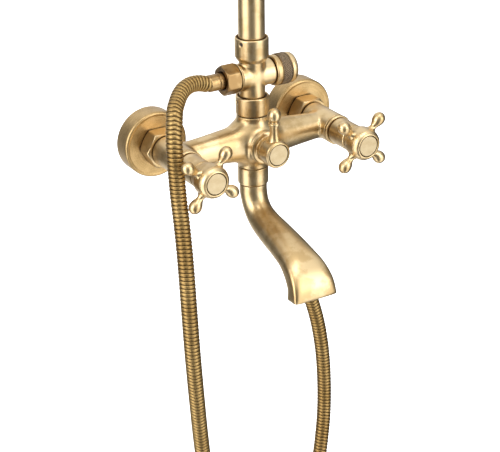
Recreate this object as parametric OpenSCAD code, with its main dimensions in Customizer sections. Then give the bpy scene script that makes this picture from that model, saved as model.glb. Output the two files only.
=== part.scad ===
// Wall-mounted shower column: two-handle bath mixer with a swivel tub spout, a diverter tee with a
// metal hose, a telescopic riser with a gooseneck arm, a rain head and a hand shower on a slider.
// Origin midway between the two wall inlets on the wall plane. +Z up, -Y out of the wall.

/* [Wall and mixer] */
// Distance between the two wall inlets
inlet_spacing = 150; // [140:1:160]
// Distance of the mixer and riser axis from the wall
axis_depth = 53; // [50:1:58]
// Radius of the wall flanges
flange_r = 29.5; // [27:0.5:32]
// Depth of the wall flanges
flange_depth = 18; // [15:0.5:18]
// Radius of the inlet thread that screws into the wall
inlet_r = 10.4; // [9:0.1:10.5]
// Depth that the inlet thread goes into the wall
inlet_depth = 16; // [10:1:25]
// Radius of the two cylinders at the ends of the mixer
end_r = 13.2; // [13:0.1:13.5]

/* [Handles] */
// Distance of the handle balls from the handle axis
arm_reach = 26; // [24:0.5:27]
// Turn of the hot handle's arms from straight up
hot_arm_angle = 36; // [0:1:89]
// Turn of the cold handle's arms from straight up
cold_arm_angle = 43; // [0:1:89]
// Length of the diverter lever from its axis to the top of its ball
lever_reach = 40; // [34:0.5:42]

/* [Spout] */
// Horizontal distance from the swivel axis to the middle of the outlet
spout_reach = 94; // [85:1:105]
// Depth of the outlet below the mixer axis
spout_drop = 110.5; // [106:0.5:116]
// Width of the outlet
outlet_w = 43; // [38:1:46]

/* [Tee and hose] */
// Height of the tee's branch above the mixer axis
tee_z = 59.5; // [58:0.5:61]
// Diameter of the shower hose
hose_d = 14.4; // [12:0.2:14.4]
// Radius of the knurled diverter knob
knob_r = 13.8; // [13.2:0.1:14.6]

/* [Riser and rain head] */
// Radius of the lower riser tube
riser_r = 11.4; // [11:0.1:11.4]
// Radius of the sliding upper tube
upper_r = 9.5; // [9:0.1:9.5]
// Height of the top of the lower riser
riser_top = 660; // [620:5:700]
// Height where the gooseneck starts to bend
neck_z = 980; // [940:10:1050]
// Bend radius of the gooseneck over the riser
neck_bend = 90; // [70:5:110]
// Distance from the riser to the middle of the rain head
head_reach = 300; // [260:10:340]
// Radius of the rain head
head_r = 100; // [90:1:125]
// Height of the wall bracket
bracket_z = 610; // [600:5:612]

/* [Hand shower] */
// Height of the slider's cradle
cradle_z = 400; // [380:1:420]
// Distance of the cradle from the riser axis
cradle_x = 44; // [42:1:46]
// Lean of the hand shower away from the wall
cradle_lean = 20; // [12:1:24]
// Radius of the hand shower's head
hand_head_r = 37; // [30:1:42]

/* [Hidden] */
$fn = 96;

run = 0.4;           // gap between parts that turn against each other
fit = 0.05;          // radial clearance of a running shaft
brass = [0.80, 0.64, 0.40];
dark_brass = [0.60, 0.45, 0.24];
rubber = [0.12, 0.12, 0.12];
plastic = [0.85, 0.84, 0.80];
side = inlet_spacing / 2;

// Distances from the wall along each handle's axis
nut_front = 33.6;
end_back = 34;
end_front = 75;
bonnet_front = 98;
hub_back = bonnet_front + run;
arm_plane = 109.8;
hub_front = 120.3;

// Distances from the wall along the diverter's axis
boss_front = 74;
ring_front = 77;
lever_back = 82;
lever_front = 95.5;
lever_plane = 88;

// Heights along the riser
lower_nut = [24.8, 41.7];
upper_nut = [72.5, 93.4];
tee_span = [36.5, 82];
tee_r = 11.2;
collar_span = [-38.9, -22.9];
knob_span = [18.5, 40];      // of the tee's knob, out along the branch
stem_fit = 4.05;             // bores round the 4 mm spindles and stem
bracket_half = 11;
collar_lap = 14;
bush_h = 24;
tube_end = riser_top - 240;

// Gooseneck
neck_top = neck_z + neck_bend;
end_bend = 50;
drop_z = neck_top - end_bend - 14;
head_y = -axis_depth - head_reach;
ball_r = 9;
ball_z = drop_z - 17;
nozzle_rings = 6;
nozzle_gap = 14.5;   // between rings of nozzles

// Hand shower
u_lean = [0, -sin(cradle_lean), cos(cradle_lean)];
cradle_at = [cradle_x, -axis_depth, cradle_z];
nut_drop = 34;       // from the cradle's pivot down to the face where the hose ends
head_up = 180;       // from the cradle's pivot up to the middle of the head
head_forward = 22;   // and from the handle's axis forward to it
face_turn = 20;      // the spray face leans this far past square to the handle

// Route of the hose's centreline, from the tee down, round and up to the hand shower
hose_route = [
    [-44, -axis_depth, tee_z], [-52, -53.5, 62], [-61, -56, 63.3], [-70, -60.5, 62.5],
    [-77, -65.5, 60], [-83, -71.5, 56.6], [-88, -77, 53], [-92, -83, 47.5], [-96.5, -90, 35],
    [-98.4, -93.5, 22], [-98.3, -95, 5], [-98.2, -97, -14], [-98.2, -101.5, -39],
    [-99, -107, -69], [-99.7, -111.5, -105], [-98.5, -113, -149], [-94.5, -110, -191],
    [-88.4, -104, -237], [-82, -98, -279], [-75, -91, -325], [-66, -82, -372],
    [-48, -72, -422], [-20, -62.5, -446.6], [13, -51, -454], [49, -39.5, -440.5], [84, -28, -390],
    [97, -22, -342], [101, -18, -294], [98, -16, -245], [88, -15, -200], [66, -15, -144],
    [41, -15, -102], [26, -15, -62], [22, -15, -20], [23, -15, 50], [23, -15, 130],
    [28, -15, 200], [38, -16, 270], cradle_at - (nut_drop + 20) * u_lean,
    cradle_at - nut_drop * u_lean];

// ---- helpers ----------------------------------------------------------------------------

// Local +Z points out of the wall, from a point of the wall plane
module outward(x, z = 0) translate([x, 0, z]) rotate([90, 0, 0]) children();
// Local +Z points along +X, from a point of the riser axis
module sideways(z) translate([0, -axis_depth, z]) rotate([0, 90, 0]) children();
// Local +Z runs up the riser axis
module on_riser(z = 0) translate([0, -axis_depth, z]) children();
// Solid of revolution from [radius, height] points
module turned(points) rotate_extrude() polygon(points);
// Tube between two heights
module tube(r_out, r_in, z0, z1)
    turned([[r_in, z0], [r_out, z0], [r_out, z1], [r_in, z1]]);
// Tube with small chamfers on its outer edges
module soft_tube(r_out, r_in, z0, z1, c = 0.6)
    turned([[r_in, z0], [r_out - c, z0], [r_out, z0 + c], [r_out, z1 - c], [r_out - c, z1],
        [r_in, z1]]);
module rod(r, z0, z1) translate([0, 0, z0]) cylinder(r = r, h = z1 - z0);
// Hexagon across flats af, with chamfered corners
module hexagon(af, z0, z1)
    intersection() {
        rod(af / sqrt(3) - 0.2, z0, z1);
        translate([0, 0, z0]) linear_extrude(z1 - z0) circle(r = af / sqrt(3), $fn = 6);
        turned([[0, z0], [af / 2, z0], [af / sqrt(3) + 1, z0 + 1.6], [af / sqrt(3) + 1, z1 - 1.6],
            [af / 2, z1], [0, z1]]);
    }

function unit(v) = v / norm(v);
// Point on the smooth curve through four neighbours, between b and c
function smooth(a, b, c, d, t) = 0.5 * ((2 * b) + (c - a) * t + (2 * a - 5 * b + 4 * c - d) * t * t
    + (3 * b - a - 3 * c + d) * t * t * t);
function clampi(i, n) = max(0, min(n - 1, i));
function curve(pts, steps) = concat(
    [for (i = [0:len(pts) - 2]) for (s = [0:steps - 1])
        smooth(pts[clampi(i - 1, len(pts))], pts[i], pts[i + 1], pts[clampi(i + 2, len(pts))],
            s / steps)],
    [pts[len(pts) - 1]]);
function heading(p, i) = unit(p[clampi(i + 1, len(p))] - p[clampi(i - 1, len(p))]);
// Faces of a closed tube of n rings with m points each
function tube_faces(n, m) = concat(
    [[for (j = [0:m - 1]) j]],
    [[for (j = [0:m - 1]) (n - 1) * m + m - 1 - j]],
    [for (i = [0:n - 2]) for (j = [0:m - 1])
        [i * m + j, (i + 1) * m + j, (i + 1) * m + (j + 1) % m, i * m + (j + 1) % m]]);

// ---- wall side --------------------------------------------------------------------------

// Threaded union; the bar across its bore takes the key that screws it into the wall
module wall_union() {
    tube(inlet_r, 7.5, -inlet_depth, 4);
    tube(13, 7.5, 4, 25.5);
    translate([-7.6, -1.3, -inlet_depth / 2]) cube([15.2, 2.6, 4]);
}

module wall_flange()
    turned([[flange_r - 1.6, 0], [flange_r, 0], [flange_r, flange_depth - 2.4],
        [flange_r - 0.7, flange_depth - 0.8], [flange_r - 2.2, flange_depth],
        [flange_r - 3.6, flange_depth - 0.5], [13.1, flange_depth - 0.2], [13.1, flange_depth - 5],
        [16, flange_depth - 5], [16, flange_depth - 2.4], [flange_r - 1.6, flange_depth - 2.4]]);

module union_nut()
    difference() {
        hexagon(30, flange_depth + 0.3, nut_front);
        rod(13.05, flange_depth, 30.2);
        rod(10.3, 30, nut_front + 1);
    }

// ---- mixer body -------------------------------------------------------------------------

// Half of the cross bar, from the middle outwards, as [radius, distance]
bar_half = [[16.4, 0], [16.4, 14], [15.6, 20], [15, 26], [14.2, 34], [13.2, 46], [12.2, 56],
    [11.8, 62], [11.8, 68]];

module bar_profile()
    turned(concat([[0, -68]], [for (i = [len(bar_half) - 1:-1:0]) [bar_half[i][0], -bar_half[i][1]]],
        bar_half, [[0, 68]]));

module mixer_body() color(brass) difference() {
    union() {
        sideways(0) bar_profile();
        on_riser() turned([[0, collar_span[1]], [13.2, collar_span[1]], [14, -18], [17, -12],
            [19, -4], [19.4, 4], [18.4, 12], [16, 17.5], [14.4, 20.6], [14, 22.5],
            [14, lower_nut[0]], [0, lower_nut[0]]]);
        on_riser() rod(12, -33, collar_span[1]);
        on_riser() rod(11.5, lower_nut[0], 36);
        outward(0) rod(14.4, axis_depth, boss_front);
        for (s = [-1, 1]) outward(s * side) {
            soft_tube(end_r, 2, end_back, end_front - 3.2, 0.8);
            soft_tube(end_r - 0.7, 2, end_front - 3.4, end_front - 2.4, 0.1);
            soft_tube(end_r, 2, end_front - 2.6, end_front, 0.6);
            rod(10, 29, end_back + 1);
            rod(12.6, 27.5, 30);
        }
    }
    sideways(0) rod(6.5, -side, side);
    on_riser() rod(8, -10, 37);
    on_riser() rod(9.6, -34, -8);
    outward(0) rod(9.5, axis_depth - 4, boss_front + 1);
    for (s = [-1, 1]) outward(s * side) {
        rod(8, 27, 48);
        rod(10, 47, end_front + 1);
    }
}

// ---- valves and handles -----------------------------------------------------------------

module cartridge() {
    tube(9.95, stem_fit, 50, 74.5);
    tube(9.2, stem_fit, 74.5, 92);
}
module spindle() {
    rod(4, 52, 108);
}
module bonnet() turned([[10, end_front], [11.8, end_front], [11.8, bonnet_front - 0.5],
    [11.3, bonnet_front], [9.3, bonnet_front], [9.3, end_front + 2], [10, end_front + 2]]);

// Arm of a cross handle: a short waist and a teardrop ball, along +Z
function drop_r(t) = 5.2 * pow(sin(180 * pow(t, 0.8)), 0.62);
module cross_arm() turned(concat([[0, 10], [5.2, 10], [4.4, 13.5], [3.4, 15.6], [2.9, 17.6], [3.2, 19.2]],
    [for (k = [2:11]) [drop_r(1 - k / 12), arm_reach - 7.3 + 12.8 * k / 12]],
    [[0, arm_reach + 5.5]]));

module cross_handle(turn)
    difference() {
        union() {
            turned([[stem_fit, hub_back], [11.4, hub_back], [12.2, hub_back + 0.8], [12.2, 103.4],
                [13.4, 104.6], [14, 106], [14, 115.6], [12.6, 118.4], [11, hub_front],
                [stem_fit, hub_front]]);
            for (k = [0:3]) translate([0, 0, arm_plane]) rotate([0, 0, -turn - 90 * k])
                rotate([-90, 0, 0]) cross_arm();
        }
        rod(stem_fit, hub_back - 1, 109);
        rod(2.1, 108, 112);
        rod(9.5, 111, hub_front + 1);
    }
module index_disc() turned([[0, 117.2], [9.4, 117.2], [9.4, 119.7], [9, 120.1], [0, 120.1]]);
module handle_screw() {
    rod(3.6, 111, 114);
    rod(2, 108.2, 111);
}

module diverter_base_ring() color(brass) outward(0)
    turned([[9.6, boss_front], [14.4, boss_front], [14.8, boss_front + 0.8],
        [14.2, boss_front + 2.2], [11.2, ring_front], [11, ring_front + 0.5],
        [11, lever_back - run], [9.6, lever_back - run]]);
module diverter_cartridge() color(plastic) outward(0) tube(9.45, 3.05, 54, 80);
module diverter_spindle() color(brass) outward(0) rod(3, 56, 90);
module diverter_lever() color(brass) {
    outward(0) difference() {
        turned([[0, lever_back], [11, lever_back], [11.8, lever_back + 1.2],
            [12, lever_back + 3], [12, lever_front - 2.6], [11, lever_front - 0.6],
            [10.4, lever_front], [0, lever_front]]);
        rod(3.05, lever_back - 1, 90.2);
        rod(9.5, lever_front - 3, lever_front + 1);
    }
    outward(0) translate([0, 0, lever_plane]) rotate([-90, 0, 0])
        turned(concat([[0, 10], [5.8, 10], [5.2, 12.2], [4.4, 14.6], [3.8, 18], [3.6, 21.5],
            [3.8, 24.8], [5, 25.2], [5, 26.8], [4.2, 27.6]],
            [for (a = [-60:15:75]) [5.8 * cos(a), lever_reach - 5.8 + 5.8 * sin(a)]],
            [[0, lever_reach]]));
}
module diverter_cap() color(brass) outward(0)
    turned([[0, lever_front - 3], [9.4, lever_front - 3], [9.4, lever_front - 0.6],
        [9, lever_front - 0.2], [0, lever_front - 0.2]]);

// ---- spout ------------------------------------------------------------------------------

module spout_collar() color(brass) on_riser() difference() {
    soft_tube(13.4, 10.3, collar_span[0], collar_span[1] - 0.2, 0.7);
    rod(12.05, -36, collar_span[1] + 1);
}

// Centreline and half sizes of the spout: [forward, height, half width, half thickness, squareness]
spout_top = collar_span[0] - run;
spout_rows = [[0, spout_top, 12.2, 12.2, 2], [0.4, -48, 12, 12, 2], [3.5, -57, 11.8, 11.8, 2],
    [10, -65, 12.2, 12, 2], [20, -70.5, 13, 12.2, 2.1], [36, -75, 14.4, 12, 2.2],
    [54, -79.5, 15.6, 11.4, 2.3], [70, -84.5, 17, 10.4, 2.5], [83, -91.5, 18.9, 9.2, 3.2],
    [spout_reach - 2.5, -100.5, 20.5, 8, 4], [spout_reach, -spout_drop, outlet_w / 2, 8, 4.8]];
function spout_mid(i) = [0, -axis_depth - spout_rows[i][0], spout_rows[i][1]];
function spout_dir(i) = i == 0 || i == len(spout_rows) - 1 ? [0, 0, -1]
    : unit(spout_mid(i + 1) - spout_mid(i - 1));
function rounded(c, p) = sign(c) * pow(abs(c), 2 / p);
// Ring of the spout at row i, drawn in by wall
function spout_ring(i, wall, m) = [for (j = [0:m - 1])
    let (a = 360 * (j + 0.5) / m, up = cross(spout_dir(i), [1, 0, 0]), p = spout_rows[i][4])
        spout_mid(i) + (spout_rows[i][2] - wall) * rounded(cos(a), p) * [1, 0, 0]
            + (spout_rows[i][3] - wall) * rounded(sin(a), p) * up];
module spout_skin(wall, m, first, last)
    polyhedron([for (i = [first:last]) each spout_ring(i, wall, m)],
        tube_faces(last - first + 1, m));

module spout() color(brass) difference() {
    union() {
        spout_skin(0, 20, 0, len(spout_rows) - 1);
        on_riser() rod(10, spout_top - 1, -35);
        on_riser() rod(11.7, -35.7, -33.4);
        on_riser() rod(9.2, -34, -14);
    }
    on_riser() rod(7, spout_top - 3, -13);
    for (z = [-29, -20]) on_riser() tube(10, 7.8, z - 1, z + 1);
    spout_skin(3, 12, 1, len(spout_rows) - 1);
    translate([0, -axis_depth - spout_reach, -spout_drop]) spout_mouth(0, 7);
}
// Flat pocket in the outlet that holds the aerator
module spout_mouth(gap, h)
    translate([-outlet_w / 2 + 4.5 + gap, -4.6 + gap, -1])
        cube([outlet_w - 9 - 2 * gap, 9.2 - 2 * gap, h]);
module spout_o_rings() color(rubber) for (z = [-29, -20]) on_riser(z) tube(9.55, 7.85, -0.95, 0.95);
module spout_aerator() color(plastic) difference() {
    translate([0, -axis_depth - spout_reach, -spout_drop + 2]) spout_mouth(0.1, 4);
    for (i = [-4:4]) for (j = [-1, 1])
        translate([i * 3.4, -axis_depth - spout_reach + j * 2, -spout_drop]) cylinder(r = 1.1, h = 9);
}

// ---- tee --------------------------------------------------------------------------------

module lower_slip_nut() color(brass) on_riser() difference() {
    turned([[0, lower_nut[0] + 0.2], [13.6, lower_nut[0] + 0.2], [14.5, lower_nut[0] + 1.2],
        [14.5, lower_nut[1] - 1], [13.8, lower_nut[1]], [0, lower_nut[1]]]);
    rod(11.55, lower_nut[0], 36.2);
    rod(11.25, 36, lower_nut[1] + 1);
    nut_screw_hole(nut_screws[0]);
}
module upper_slip_nut() color(brass) on_riser() difference() {
    turned([[0, upper_nut[0]], [12.2, upper_nut[0]], [14.5, upper_nut[0] + 4],
        [14.5, upper_nut[1] - 0.8], [13.9, upper_nut[1]], [0, upper_nut[1]]]);
    rod(11.25, upper_nut[0] - 1, 82.2);
    rod(11.45, 82.1, upper_nut[1] + 1);
    nut_screw_hole(nut_screws[1]);
}
// Height of each slip nut's grub screw, and its angle from +X round +Z
nut_screws = [[37, 174], [89.4, -160]];
module nut_screw_hole(at) translate([0, 0, at[0]]) rotate([0, 90, at[1]]) rod(1.8, 11, 16);
module slip_nut_screws() color(dark_brass) for (at = nut_screws)
    on_riser(at[0]) rotate([0, 90, at[1]]) rod(1.75, 12, 13.6);

module tee_body() color(brass) difference() {
    union() {
        on_riser() rod(tee_r, tee_span[0], tee_span[1]);
        sideways(tee_z) {
            rod(tee_r, -14.6, knob_span[0] - run);
            soft_tube(12.4, 4, -16.2, -14.4, 0.4);
            rod(9.4, -24, -15);
        }
    }
    on_riser() rod(8.6, tee_span[0] - 1, tee_span[1] + 1);
    sideways(tee_z) rod(6, -27, 0);
    sideways(tee_z) rod(stem_fit, 0, knob_span[0] + 1);
}
// Plain front band, knurled band and rounded rim
module tee_knob() color(brass) sideways(tee_z) difference() {
    turned([[0, knob_span[0]], [12.6, knob_span[0]], [13.3, 19.3], [13.3, 23], [12.9, 23.4],
        [12.9, 23.9], [knob_r - 0.3, 24.2], [knob_r, 24.6], [knob_r, 32.4], [knob_r - 0.3, 32.8],
        [13.1, 33.2], [13.4, 33.8], [13.2, 37], [12.2, 39], [10.2, knob_span[1]],
        [0, knob_span[1]]]);
    rod(stem_fit, knob_span[0] - 1, 34);
}
module tee_stem() color(dark_brass) sideways(tee_z) rod(4, 9, 33.8);

module hose_nut() color(dark_brass) sideways(tee_z) difference() {
    rotate([180, 0, -8]) hexagon(23.6, 16.6, 30);
    rod(9.45, -27, -16);
    rod(7.35, -31, -26);
}
module hose_washer() color(rubber) sideways(tee_z) tube(9.3, 5.5, -26, -24);
module hose_ferrule() color(dark_brass) sideways(tee_z)
    turned([[5.5, -44], [7, -44], [7.3, -43.6], [7.3, -27], [9.3, -27], [9.3, -26],
        [5.5, -26]]);

module shower_hose() color(dark_brass) {
    sides = 10;
    pts = curve(hose_route, 2);
    n = len(pts);
    lean = function (i) i == 0 ? [-1, 0, 0] : i == n - 1 ? u_lean : heading(pts, i);
    polyhedron([for (i = [0:n - 1]) let (t = lean(i), a = unit(cross(t, [0, 1, 0])), b = cross(t, a))
        for (j = [0:sides - 1])
            pts[i] + hose_d / 2 * (cos(360 * j / sides) * a + sin(360 * j / sides) * b)],
        tube_faces(n, sides));
}

// ---- riser ------------------------------------------------------------------------------

module lower_riser() color(brass) on_riser() tube(riser_r, 10, 82.4, riser_top);
module riser_guide_bush() color(plastic) on_riser()
    tube(9.98, upper_r + fit, riser_top - bush_h, riser_top - 0.5);
module height_collar() color(brass) on_riser() difference() {
    turned([[0, riser_top - collar_lap], [13.4, riser_top - collar_lap],
        [15.4, riser_top - collar_lap + 2], [15.4, riser_top + 12], [14.2, riser_top + 15],
        [12.2, riser_top + 18], [11.6, riser_top + 20], [0, riser_top + 20]]);
    rod(riser_r + 0.05, riser_top - collar_lap - 1, riser_top + 0.1);
    rod(upper_r + run, riser_top, riser_top + 21);
    translate([0, 0, riser_top + 6]) rotate([0, 90, 0]) rod(3.1, 8, 17);
}
module height_lock_screw() color(brass) sideways(riser_top + 6) {
    rod(3, upper_r + run, 18);
    turned([[0, 17], [4.6, 17], [5, 18], [8.4, 19], [9, 20], [9, 27], [8, 28.2], [0, 28.6]]);
}

module gooseneck_tube() color(brass) {
    on_riser() tube(upper_r, 8.2, tube_end, neck_z);
    translate([0, -axis_depth - neck_bend, neck_z]) rotate([90, 0, 90]) bend(neck_bend, 0);
    outward(0, neck_top) tube(upper_r, 8.2, axis_depth + neck_bend, -head_y - end_bend);
    translate([0, head_y + end_bend, neck_top - end_bend]) rotate([90, 0, 90]) bend(end_bend, 90);
    translate([0, head_y, 0]) tube(upper_r, 8.2, drop_z, neck_top - end_bend);
    translate([0, head_y, 0]) soft_tube(12.4, 8.2, drop_z, drop_z + 9, 0.8);
}
module bend(r, from) rotate([0, 0, from]) rotate_extrude(angle = 90) translate([r, 0]) difference() {
    circle(r = upper_r);
    circle(r = 8.2);
}
module tube_seals() color(rubber) on_riser() {
    for (z = [tube_end - 8, tube_end - 3]) tube(9.95, 8.6, z - 1, z + 1);
    tube(9.2, 6, tube_end - 12, tube_end - 0.2);
}

// ---- wall bracket -----------------------------------------------------------------------

module bracket_plate() color(dark_brass) outward(0, bracket_z) difference() {
    rod(21, 0, 4);
    for (s = [-1, 1]) translate([s * 13, 0, 0]) bracket_hole();
}
module bracket_hole() turned([[0, -1], [2.6, -1], [2.6, 1.8], [5, 4.2], [0, 4.2]]);
module bracket_screws() color([0.7, 0.7, 0.7]) outward(0, bracket_z)
    for (s = [-1, 1]) translate([s * 13, 0, 0])
        turned([[0, -30], [1.2, -28], [2.5, -22], [2.5, 0], [2.4, 0], [2.4, 1.8], [4.6, 3.9],
            [0, 3.9]]);
module bracket_flange() color(brass) outward(0, bracket_z)
    turned([[21.2, 0], [26, 0], [26, 5], [25, 7], [22, 8.4], [12, 10.4], [8.8, 12],
        [7.6, 12], [7.6, 4.2], [21.2, 4.2]]);
module bracket_arm() color(brass) {
    outward(0, bracket_z) {
        rod(7.5, 4, axis_depth - 13);
        turned([[0, 20], [7.5, 20], [9, 21.4], [9, 23.6], [7.5, 25], [0, 25]]);
    }
    on_riser(bracket_z) soft_tube(16, riser_r + 0.05, -bracket_half, bracket_half, 1.4);
}

// ---- slider and hand shower -------------------------------------------------------------

module on_cradle() translate(cradle_at) rotate([cradle_lean, 0, 0]) children();

module slider_sleeve() color(brass) on_riser(cradle_z) difference() {
    union() {
        turned([[0, -20], [14.6, -20], [16.2, -18.4], [16.2, 18.4], [14.6, 20], [0, 20]]);
        rotate([0, 90, 0]) rod(8, 0, 24);
        rotate([0, -90, 0]) rod(7, 0, 20);
    }
    rod(riser_r + fit, -21, 21);
    rotate([0, 90, 0]) rod(3.55, 17, 25);
    rotate([0, -90, 0]) rod(3.1, 10, 21);
}
module slider_lock_knob() color(brass) on_riser(cradle_z) rotate([0, -90, 0]) {
    rod(3, riser_r + run, 22);
    turned([[0, 20.4], [6, 20.4], [10, 22.4], [10.6, 24], [10.6, 30], [9.6, 31.6], [0, 32.2]]);
}
// Forked ring that holds the hose's conical nut, with a pin into the slider
module hand_cradle() color(brass) {
    translate(cradle_at) rotate([0, -90, 0]) rod(3.5, 15, cradle_x - 17.4);
    difference() {
        union() {
            on_cradle() turned([[0, -9], [13.2, -9], [14.4, -7.6], [14.4, 8], [13.4, 9], [0, 9]]);
            translate(cradle_at) rotate([0, -90, 0]) rod(8, 12, cradle_x - 24.4);
        }
        on_cradle() turned([[0, -10], [9.3, -10], [10.9, 10], [0, 10]]);
        on_cradle() rotate([0, 0, 180]) translate([-6.5, 0, -10]) cube([13, 20, 20]);
    }
}
module hose_end_nut() color(dark_brass) on_cradle()
    turned([[5.5, -nut_drop], [7, -nut_drop], [7.3, -nut_drop + 0.4], [7.3, -16], [9, -14],
        [10.7, 10], [10.7, 14], [10, 14.8], [7.5, 14.8], [7.5, 2], [5.5, 2]]);

module hand_shower() color(brass) on_cradle() difference() {
    union() {
        turned([[0, 3], [7.45, 3], [7.45, 15], [10.4, 15], [11, 15.8], [11, 18.6], [9.4, 19.6],
            [8.4, 24], [9.4, 60], [9.8, 90], [9, 118], [8.2, 128], [9.6, 129.4], [9.6, 132],
            [8.2, 133.4], [8.4, 150], [8.8, 168], [6.2, 173], [0, 174.5]]);
        hand_head() turned([[0, -26], [9, -25], [14, -21], [22, -15.5], [31, -11],
            [hand_head_r - 1.6, -7], [hand_head_r, -5], [hand_head_r, 1], [hand_head_r - 1, 2],
            [0, 2]]);
    }
    rod(5.5, 2, 160);
    hand_head() rod(hand_head_r - 3, -6, 3);
    hand_head() rod(hand_head_r + 5, 2, 20);
}
module hand_head() translate([0, -head_forward, head_up]) rotate([90 + face_turn, 0, 0]) children();
module hand_spray_face() color(plastic) on_cradle() hand_head() {
    rod(hand_head_r - 3.1, -4, 1);
    for (ring = [1:3]) for (k = [0:ring * 8 - 1])
        rotate([0, 0, k * 360 / (ring * 8)]) translate([ring * 9.2, 0, 0.5])
            cylinder(r1 = 1.6, r2 = 1.1, h = 2.1);
}

// ---- rain head --------------------------------------------------------------------------

module at_head() translate([0, head_y, ball_z]) children();
module rain_ball_stud() color(dark_brass) at_head() difference() {
    union() {
        sphere(r = ball_r);
        rod(5, 0, 17);
        rod(8.1, 17, 26);
    }
    rod(3.5, -10, 27);
}
module rain_seat_ring() color(plastic) at_head() difference() {
    rod(11.6, -9, 4);
    sphere(r = ball_r + fit);
    rod(6.8, -10, -4);
}
module rain_nut() color(brass) at_head() difference() {
    turned([[0, -16], [14.2, -16], [15, -15], [15, -4], [14, 0], [11.5, 7.2], [10, 8.2], [0, 8.2]]);
    rod(12, -17, 4.4);
    turned([[0, 4], [12, 4], [8.8, 9], [0, 9]]);
}
module rain_head_shell() color(brass) at_head() difference() {
    turned([[0, -9.4], [11.6, -9.4], [11.6, -16.2], [15.4, -16.2], [17, -18], [30, -21.5],
        [60, -25.5], [head_r - 4, -28], [head_r - 1, -29], [head_r, -31], [head_r, -35],
        [head_r - 1, -36], [0, -36]]);
    rod(5.5, -20, -9);
    turned([[0, -19.5], [16, -19.5], [60, -27.5], [head_r - 5, -30.5], [head_r - 5, -33.6],
        [0, -33.6]]);
    for (ring = [1:nozzle_rings]) for (k = [0:ring * 6 - 1]) rotate([0, 0, k * 60 / ring])
        translate([ring * nozzle_gap, 0, -37]) cylinder(r = 1.5, h = 5);
}
module rain_nozzles() color(rubber) at_head() union() {
    for (ring = [1:nozzle_rings]) for (k = [0:ring * 6 - 1]) rotate([0, 0, k * 60 / ring])
        translate([ring * nozzle_gap, 0, -37.6]) cylinder(r = 1.45, h = 4);
}

// ---- nodes ------------------------------------------------------------------------------

module hot_wall_flange() color(brass) outward(-side) wall_flange();
module cold_wall_flange() color(brass) outward(side) wall_flange();
module hot_wall_union() color(dark_brass) outward(-side) wall_union();
module cold_wall_union() color(dark_brass) outward(side) wall_union();
module hot_union_nut() color(brass) outward(-side) union_nut();
module cold_union_nut() color(brass) outward(side) union_nut();
module union_washers() color(rubber) for (s = [-1, 1]) outward(s * side) tube(12.4, 8, 25.5, 27.5);
module hot_bonnet() color(brass) outward(-side) bonnet();
module cold_bonnet() color(brass) outward(side) bonnet();
module hot_cartridge() color(plastic) outward(-side) cartridge();
module cold_cartridge() color(plastic) outward(side) cartridge();
module hot_spindle() color(dark_brass) outward(-side) spindle();
module cold_spindle() color(dark_brass) outward(side) spindle();
module hot_handle() color(brass) outward(-side) cross_handle(hot_arm_angle);
module cold_handle() color(brass) outward(side) cross_handle(cold_arm_angle);
module hot_index_disc() color(brass) outward(-side) index_disc();
module cold_index_disc() color(brass) outward(side) index_disc();
module hot_handle_screw() color(dark_brass) outward(-side) handle_screw();
module cold_handle_screw() color(dark_brass) outward(side) handle_screw();

mixer_body();
hot_wall_flange();
cold_wall_flange();
hot_wall_union();
cold_wall_union();
hot_union_nut();
cold_union_nut();
union_washers();
hot_bonnet();
cold_bonnet();
hot_cartridge();
cold_cartridge();
hot_spindle();
cold_spindle();
hot_handle();
cold_handle();
hot_index_disc();
cold_index_disc();
hot_handle_screw();
cold_handle_screw();
diverter_base_ring();
diverter_cartridge();
diverter_spindle();
diverter_lever();
diverter_cap();
spout_collar();
spout();
spout_o_rings();
spout_aerator();
lower_slip_nut();
upper_slip_nut();
slip_nut_screws();
tee_body();
tee_knob();
tee_stem();
hose_nut();
hose_washer();
hose_ferrule();
shower_hose();
hose_end_nut();
lower_riser();
riser_guide_bush();
height_collar();
height_lock_screw();
gooseneck_tube();
tube_seals();
bracket_plate();
bracket_screws();
bracket_flange();
bracket_arm();
slider_sleeve();
slider_lock_knob();
hand_cradle();
hand_shower();
hand_spray_face();
rain_ball_stud();
rain_seat_ring();
rain_nut();
rain_head_shell();
rain_nozzles();
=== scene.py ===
"""Antique brass shower column: bath mixer, diverter tee, metal hose, riser, rain head, hand shower."""
import math

import bpy
import numpy as np
from mathutils import Matrix, Vector


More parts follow.
